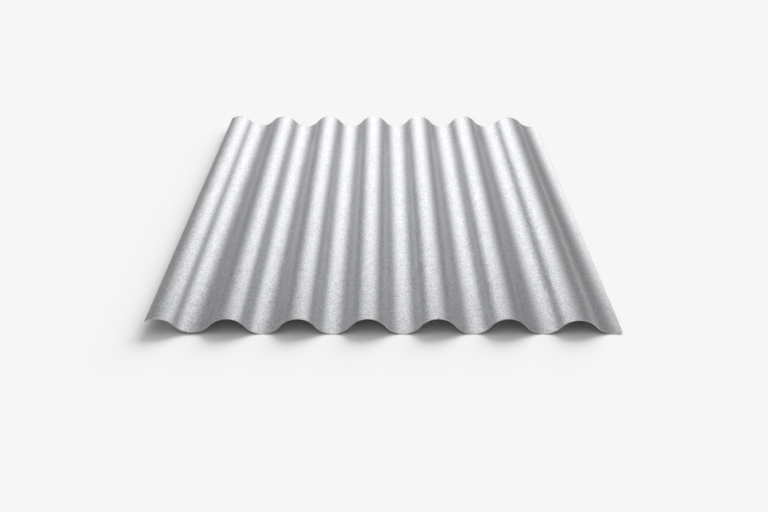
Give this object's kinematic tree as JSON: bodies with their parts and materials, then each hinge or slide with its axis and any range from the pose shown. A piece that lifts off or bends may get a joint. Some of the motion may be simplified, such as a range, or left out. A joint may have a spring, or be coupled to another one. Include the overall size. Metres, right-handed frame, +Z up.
{
  "type": "corrugated metal sheet",
  "caption": "Thin corrugated metal sheet for roofs and walls, with round waves along its length and side edges that turn down and up, so that neighbouring sheets lap and nest.",
  "frame": {"origin": "on the level that the troughs rest on, under the middle of the sheet's outline", "axes": "+X across the waves towards the up-turned underlap edge, +Y along the waves, +Z up, out of the weather side"},
  "size_m": [0.5159, 0.775, 0.0186],
  "materials": {
    "coated_steel": "bare zinc-coated steel, satin, with a fine even grain"
  },
  "bodies": {
    "root": {"corrugated_sheet": "coated_steel"}
  },
  "joints": []
}
